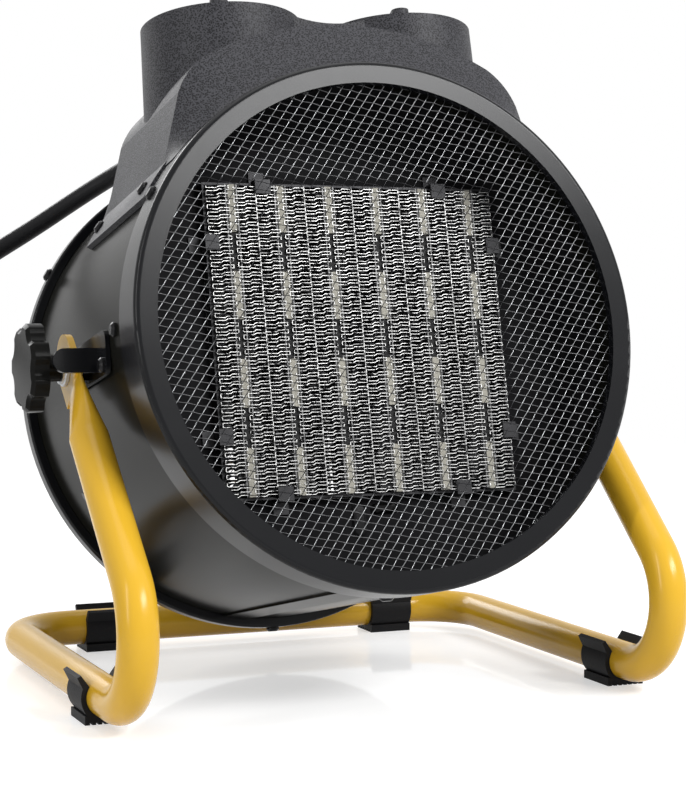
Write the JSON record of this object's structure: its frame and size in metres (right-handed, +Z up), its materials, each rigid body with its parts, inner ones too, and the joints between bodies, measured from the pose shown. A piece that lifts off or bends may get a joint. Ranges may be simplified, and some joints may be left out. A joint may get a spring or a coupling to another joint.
{
  "type": "forced air heater",
  "caption": "Round ceramic fan heater: a steel drum with a meshed front, a moulded control housing on top with dials, and a bent tube stand that lets the drum tilt.",
  "frame": {"origin": "on the floor, under the middle of the heater's bounding box", "axes": "-Y towards the front of the heater, +X to the right as seen from the front, +Z up"},
  "size_m": [0.6024, 0.2758, 0.3097],
  "materials": {
    "yellow_enamel": "gloss powder coat",
    "black_enamel": "gloss enamel",
    "black_plastic": "fine grain",
    "black_rubber": "matte",
    "zinc_steel": "zinc plated",
    "mesh_steel": "drawn wire",
    "motor_steel": "satin",
    "fan_aluminium": "pressed sheet",
    "core_aluminium": "bright foil",
    "stone_ceramic": "fired ceramic",
    "dark_silicone": "matte",
    "dark_phenolic": "satin",
    "white_nylon": "satin",
    "brass_pins": "nickel free"
  },
  "bodies": {
    "stand": {"stand_tube": "yellow_enamel", "foot_front_left": "black_rubber", "foot_front_right": "black_rubber", "foot_rear_left": "black_rubber", "foot_rear_right": "black_rubber", "cord_tube": "black_rubber", "cord_coil": "black_rubber", "plug_body": "black_rubber", "plug_pins": "brass_pins"},
    "heater": {"front_bezel": "black_enamel", "drum_shell": "black_enamel", "rear_cover": "black_enamel", "front_mesh": "mesh_steel", "mesh_retainer": "zinc_steel", "rear_mesh": "mesh_steel", "rear_mesh_retainer": "zinc_steel", "side_screws": "zinc_steel", "rear_screws": "zinc_steel", "baffle_plate": "black_enamel", "core_frame": "zinc_steel", "core_fins": "core_aluminium", "electrodes": "core_aluminium", "ceramic_stones": "stone_ceramic", "stone_spacers": "dark_silicone", "core_tabs": "zinc_steel", "thermal_cutout": "dark_phenolic", "fan_motor": "motor_steel", "motor_bracket": "zinc_steel", "motor_screws": "zinc_steel", "top_housing": "black_plastic", "housing_screws": "zinc_steel", "thermostat": "black_plastic", "mode_switch": "black_plastic", "terminal_block": "white_nylon", "strain_relief": "black_rubber", "bracket_left": "black_enamel", "bracket_right": "black_enamel", "bracket_screws_left": "zinc_steel", "bracket_screws_right": "zinc_steel", "weld_nut_left": "zinc_steel", "weld_nut_right": "zinc_steel"},
    "fan": {"fan_rotor": "fan_aluminium", "motor_shaft": "zinc_steel"},
    "knob_left": {"tilt_knob_left": "black_plastic", "clamp_stud_left": "zinc_steel", "washers_left": "zinc_steel"},
    "knob_right": {"tilt_knob_right": "black_plastic", "clamp_stud_right": "zinc_steel", "washers_right": "zinc_steel"},
    "thermostat_knob": {"thermostat_dial": "black_plastic", "thermostat_shaft": "zinc_steel"},
    "mode_knob": {"mode_dial": "black_plastic", "switch_shaft": "zinc_steel"}
  },
  "joints": [
    {"name": "tilt", "type": "hinge", "parent": "stand", "child": "heater", "pos_m": [0, -0.00626, 0.14511], "axis": [1, 0, 0], "range_deg": [-9, 7.5], "deforming": ["cord_tube"]},
    {"name": "fan_spin", "type": "hinge", "parent": "heater", "child": "fan", "pos_m": [0, -0.00198, 0.14779], "axis": [0, 0.9759, -0.2181], "continuous": true},
    {"name": "knob_left_turn", "type": "hinge", "parent": "heater", "child": "knob_left", "pos_m": [-0.13, -0.00626, 0.14511], "axis": [-1, 0, 0], "range_deg": [0, 360]},
    {"name": "knob_right_turn", "type": "hinge", "parent": "heater", "child": "knob_right", "pos_m": [0.13, -0.00626, 0.14511], "axis": [1, 0, 0], "range_deg": [0, 360]},
    {"name": "thermostat_turn", "type": "hinge", "parent": "heater", "child": "thermostat_knob", "pos_m": [-0.0432, 0.01665, 0.29528], "axis": [0, 0.2181, 0.9759], "range_deg": [-135, 135]},
    {"name": "mode_turn", "type": "hinge", "parent": "heater", "child": "mode_knob", "pos_m": [0.0432, 0.01665, 0.29528], "axis": [0, 0.2181, 0.9759], "range_deg": [-90, 180]}
  ]
}
